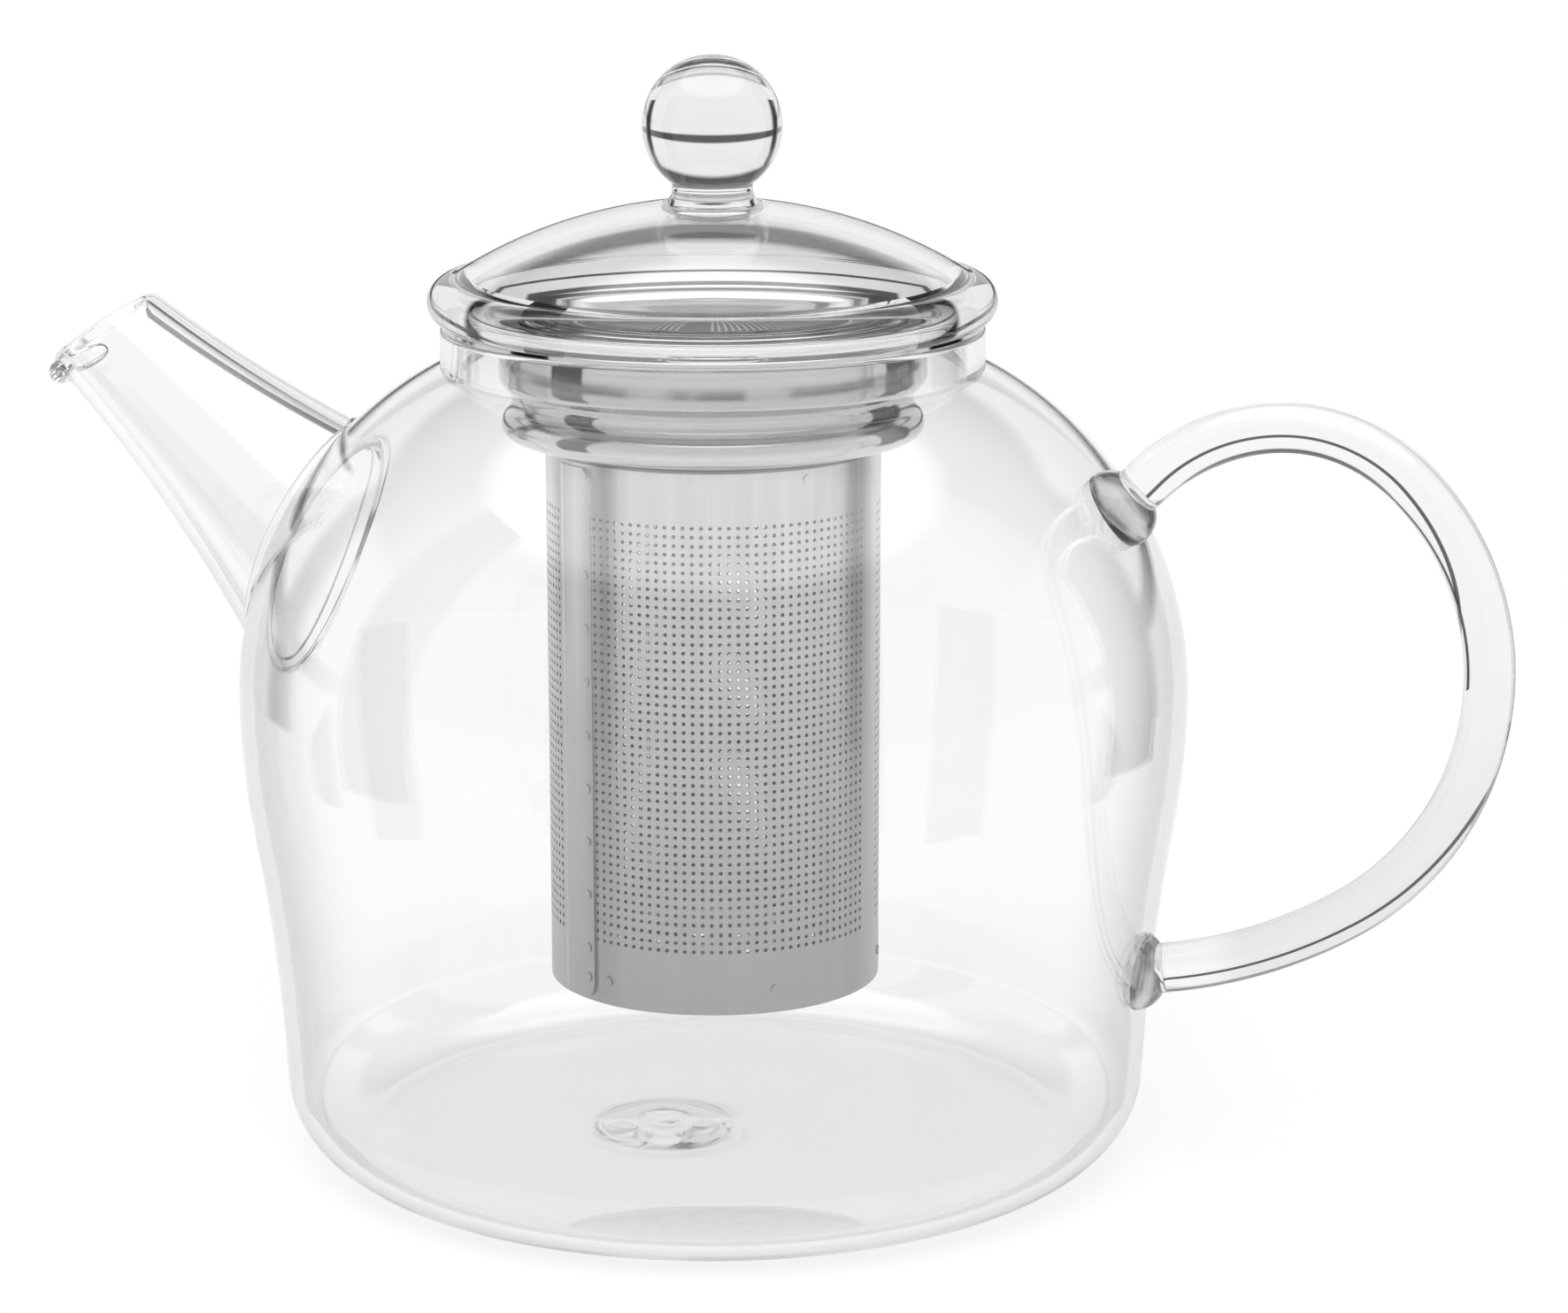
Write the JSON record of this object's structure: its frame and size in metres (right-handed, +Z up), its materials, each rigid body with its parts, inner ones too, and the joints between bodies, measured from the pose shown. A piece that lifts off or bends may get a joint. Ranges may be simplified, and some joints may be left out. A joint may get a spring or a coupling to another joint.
{
  "type": "teapot",
  "caption": "Clear glass teapot with a leaning spout, a bent glass rod handle, a lift-out perforated steel infuser and a domed glass lid with a ball knob.",
  "frame": {"origin": "centre of the flat underside of the vessel, on the axis of the body and neck", "axes": "+Z up along the body's axis, +X from the axis towards the handle, the spout points to -X"},
  "size_m": [0.241, 0.1502, 0.1752],
  "materials": {
    "clear_glass": "clear polished borosilicate glass",
    "brushed_steel": "brushed stainless sheet, pressed collar and perforated sleeve"
  },
  "bodies": {
    "vessel": {"vessel_body": "clear_glass", "spout": "clear_glass", "spout_weld": "clear_glass", "handle": "clear_glass", "handle_top_weld": "clear_glass", "handle_bottom_weld": "clear_glass"},
    "infuser": {"infuser_collar": "brushed_steel", "infuser_sleeve": "brushed_steel", "infuser_floor": "brushed_steel", "collar_spot_welds": "brushed_steel", "seam_spot_welds": "brushed_steel", "floor_spot_welds": "brushed_steel"},
    "lid": {"lid_cover": "clear_glass", "lid_knob": "clear_glass"}
  },
  "joints": [
    {"name": "infuser_lift", "type": "slide", "parent": "vessel", "child": "infuser", "axis": [0, 0, 1], "range_m": [0, 0.11]},
    {"name": "lid_lift", "type": "slide", "parent": "infuser", "child": "lid", "axis": [0, 0, 1], "range_m": [0, 0.06]}
  ]
}
